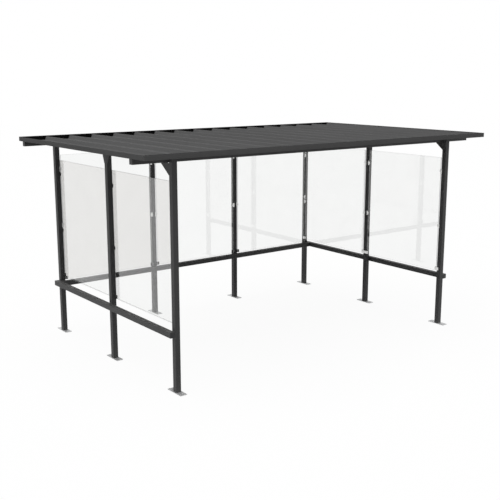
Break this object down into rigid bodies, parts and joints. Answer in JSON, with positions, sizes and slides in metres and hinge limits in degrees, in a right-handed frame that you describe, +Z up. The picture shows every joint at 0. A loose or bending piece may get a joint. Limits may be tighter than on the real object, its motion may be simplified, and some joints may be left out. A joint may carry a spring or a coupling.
{
  "type": "bicycle shelter",
  "caption": "Open bicycle shelter: square steel tube posts and rails, a level ribbed sheet roof, and clear glass panes on both ends and the back, with an open front.",
  "frame": {"origin": "on the floor, under the middle of the outline", "axes": "+X along the shelter, +Y from the open front towards the glazed back, +Z up"},
  "size_m": [4.994, 3.0704, 2.505],
  "materials": {
    "painted_steel": "satin powder coat",
    "roof_steel": "matt coated sheet",
    "galvanised_steel": "dull galvanised",
    "clamp_metal": "satin",
    "black_plastic": "matt",
    "black_foam": "matt closed-cell foam",
    "clear_glass": "clear toughened glass"
  },
  "bodies": {
    "root": {"post_front_left": "painted_steel", "post_mid_left": "painted_steel", "post_back_left": "painted_steel", "post_back_inner_left": "painted_steel", "post_back_inner_right": "painted_steel", "post_back_right": "painted_steel", "post_mid_right": "painted_steel", "post_front_right": "painted_steel", "foot_front_left": "galvanised_steel", "foot_mid_left": "galvanised_steel", "foot_back_left": "galvanised_steel", "foot_back_inner_left": "galvanised_steel", "foot_back_inner_right": "galvanised_steel", "foot_back_right": "galvanised_steel", "foot_mid_right": "galvanised_steel", "foot_front_right": "galvanised_steel", "beam_front": "painted_steel", "beam_back": "painted_steel", "beam_left": "painted_steel", "beam_right": "painted_steel", "beam_caps": "black_plastic", "gusset_left": "painted_steel", "gusset_right": "painted_steel", "rail_left": "painted_steel", "rail_right": "painted_steel", "rail_back": "painted_steel", "rail_caps": "black_plastic", "fillers_front": "black_foam", "fillers_back": "black_foam", "roof_sheet": "roof_steel", "fascia_front": "roof_steel", "fascia_back": "roof_steel", "fascia_left": "roof_steel", "fascia_right": "roof_steel", "glass_left_front": "clear_glass", "glass_left_back": "clear_glass", "glass_back_left": "clear_glass", "glass_back_mid": "clear_glass", "glass_back_right": "clear_glass", "glass_right_back": "clear_glass", "glass_right_front": "clear_glass", "clamps_left": "clamp_metal", "clamps_back": "clamp_metal", "clamps_right": "clamp_metal", "clamps_painted": "painted_steel"}
  },
  "joints": []
}
